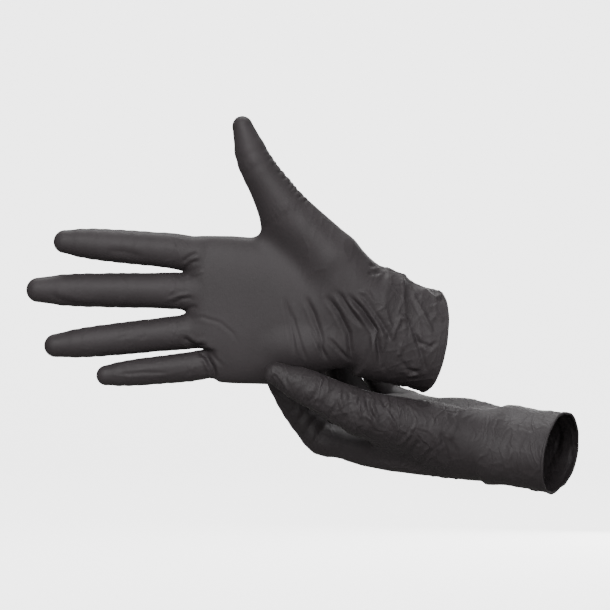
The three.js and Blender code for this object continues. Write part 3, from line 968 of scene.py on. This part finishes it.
def film_material(name, painted_shade_factor):
    """Black satin rubber: faint clouds of tone and sheen, a fine grain, and creases in crumpled film. Its
    base colour is scaled by the given factor, which paints shade into a glove's film.
    """
    material = bpy.data.materials.new(name)
    material.use_nodes = True
    tree = material.node_tree
    bsdf = tree.nodes["Principled BSDF"]
    add = tree.nodes.new
    link = tree.links.new
    coords = add("ShaderNodeTexCoord")
    cloud = add("ShaderNodeTexNoise")
    cloud.inputs["Scale"].default_value = 38
    cloud.inputs["Detail"].default_value = 5
    link(coords.outputs["Object"], cloud.inputs["Vector"])
    # The tones of the base colour are scaled by the factor, which is painted shade where it is below 1.
    tone = add("ShaderNodeValToRGB")
    tone.color_ramp.elements[0].position = 0.3
    tone.color_ramp.elements[0].color = (0.027 * painted_shade_factor, 0.0228 * painted_shade_factor, 0.0243 * painted_shade_factor, 1)
    tone.color_ramp.elements[1].position = 0.72
    tone.color_ramp.elements[1].color = (0.034 * painted_shade_factor, 0.0288 * painted_shade_factor, 0.031 * painted_shade_factor, 1)
    link(cloud.outputs["Fac"], tone.inputs["Fac"])
    link(tone.outputs["Color"], bsdf.inputs["Base Color"])
    rough = add("ShaderNodeMapRange")
    rough.inputs["To Min"].default_value = 0.54
    rough.inputs["To Max"].default_value = 0.64
    link(cloud.outputs["Fac"], rough.inputs["Value"])
    link(rough.outputs["Result"], bsdf.inputs["Roughness"])
    bsdf.inputs["Specular IOR Level"].default_value = 0.3
    grain = add("ShaderNodeTexNoise")
    grain.inputs["Scale"].default_value = 2600
    grain.inputs["Detail"].default_value = 2
    link(coords.outputs["Object"], grain.inputs["Vector"])
    fine = add("ShaderNodeTexNoise")
    fine.inputs["Scale"].default_value = 420
    fine.inputs["Detail"].default_value = 4
    fine.inputs["Distortion"].default_value = 0.6
    link(coords.outputs["Object"], fine.inputs["Vector"])
    low = add("ShaderNodeBump")
    low.inputs["Strength"].default_value = 0.22
    low.inputs["Distance"].default_value = 0.0004
    link(fine.outputs["Fac"], low.inputs["Height"])
    high = add("ShaderNodeBump")
    high.inputs["Strength"].default_value = 0.16
    high.inputs["Distance"].default_value = 0.00008
    link(grain.outputs["Fac"], high.inputs["Height"])
    link(low.outputs["Normal"], high.inputs["Normal"])
    link(crease_normal(tree, coords), low.inputs["Normal"])
    link(high.outputs["Normal"], bsdf.inputs["Normal"])
    return material


def floor_material(name):
    """White to the eye, but it throws little light back, so that the gloves' lower edges stay dark."""
    material = bpy.data.materials.new(name)
    material.use_nodes = True
    tree = material.node_tree
    bsdf = tree.nodes["Principled BSDF"]
    bsdf.inputs["Roughness"].default_value = 0.9
    bsdf.inputs["Specular IOR Level"].default_value = 0.1
    path = tree.nodes.new("ShaderNodeLightPath")
    mix = tree.nodes.new("ShaderNodeMix")
    mix.data_type = "RGBA"
    mix.inputs["A"].default_value = (0.2, 0.195, 0.19, 1)
    mix.inputs["B"].default_value = (0.93, 0.93, 0.93, 1)
    glow = tree.nodes.new("ShaderNodeMath")
    glow.operation = "MULTIPLY"
    glow.inputs[1].default_value = 2.5
    tree.links.new(path.outputs["Is Camera Ray"], glow.inputs[0])
    tree.links.new(glow.outputs["Value"], bsdf.inputs["Emission Strength"])
    bsdf.inputs["Emission Color"].default_value = (1, 1, 1, 1)
    tree.links.new(path.outputs["Is Camera Ray"], mix.inputs["Factor"])
    tree.links.new(mix.outputs["Result"], bsdf.inputs["Base Color"])
    return material


def build_stage(low):
    """A pale floor that curves up into a backdrop, below the lowest place that the released glove reaches."""
    profile = []
    for i in range(13):
        angle = math.pi / 2 * i / 12
        profile.append((3.2 + 1.6 * math.sin(angle), 1.6 - 1.6 * math.cos(angle)))
    profile = [(-14.0, 0.0)] + profile + [(4.8, 7.0)]
    half = 14.0
    verts = []
    for y, z in profile:
        verts.append((-half, y, z + low[2] - FLOOR_DROP))
        verts.append((half, y, z + low[2] - FLOOR_DROP))
    faces = [(2 * i, 2 * i + 1, 2 * i + 3, 2 * i + 2) for i in range(len(profile) - 1)]
    mesh = bpy.data.meshes.new("studio_floor")
    mesh.from_pydata(verts, [], faces)
    mesh.polygons.foreach_set("use_smooth", [True] * len(faces))
    mesh.materials.append(floor_material("studio_white"))
    floor = bpy.data.objects.new("studio_floor", mesh)
    bpy.context.scene.collection.objects.link(floor)


def area_light(name, place, target, size, power):
    """A round soft light that faces its target. Places and size are in metres, power in watts."""
    light = bpy.data.lights.new(name, "AREA")
    light.shape = "DISK"
    light.size = size
    light.energy = power
    obj = bpy.data.objects.new(name, light)
    bpy.context.scene.collection.objects.link(obj)
    obj.location = place
    way = np.array(target) - np.array(place)
    obj.rotation_euler = (math.atan2(math.hypot(way[0], way[1]), -way[2]), 0, math.atan2(-way[0], way[1]))


def build_lights(middle):
    """Soft light from the front and above, and a world that is white to the eye and dim as a lamp."""
    x, y, z = middle
    area_light("key", (x - 0.4, y - 1.5, z + 0.95), middle, 1.2, 32)
    area_light("fill", (x + 1.0, y - 1.5, z + 0.25), middle, 1.4, 12.5)
    area_light("low", (x - 0.5, y - 1.4, z - 0.1), middle, 0.4, 3.5)
    area_light("rim", (x + 0.2, y + 0.9, z + 1.1), middle, 0.9, 1.5)
    area_light("back", (x + 0.6, y + 1.6, z + 0.2), middle, 1.0, 12)
    area_light("backdrop", (x, y + 1.6, z + 3.4), (x, y + 4.6, z + 0.2), 2.6, 220)
    world = bpy.context.scene.world or bpy.data.worlds.new("studio")
    bpy.context.scene.world = world
    world.use_nodes = True
    tree = world.node_tree
    background = tree.nodes["Background"]
    background.inputs["Color"].default_value = (1, 1, 1, 1)
    path = tree.nodes.new("ShaderNodeLightPath")
    seen = maths(tree, "MULTIPLY", path.outputs["Is Camera Ray"], 2.15)
    tree.links.new(maths(tree, "ADD", seen, 0.4), background.inputs["Strength"])


def build_camera(middle, width):
    """A long lens level with the gloves, which shows the given width at their middle."""
    camera = bpy.data.cameras.new("camera")
    camera.lens = 200
    camera.sensor_width = 36
    distance = width * camera.lens / camera.sensor_width
    obj = bpy.data.objects.new("camera", camera)
    bpy.context.scene.collection.objects.link(obj)
    obj.location = (middle[0], middle[1] - distance, middle[2])
    obj.rotation_euler = (math.pi / 2, 0, 0)
    bpy.context.scene.camera = obj


def main():
    for hand in HANDS:
        # The left glove's film is painted 10% darker than the right one's. This is painted shade: it is the
        # same black film, shown as if in less light.
        painted_shade_factor = 1.0 if hand.side == "right" else 0.9
        build_hand(hand, film_material(hand.side + "_nitrile", painted_shade_factor))
    low, high = (np.array(c, float) for c in CAD_BOX)
    middle = (low + high) / 2
    build_stage(low)
    build_lights(tuple(middle))
    build_camera(tuple(middle), 0.345)


main()
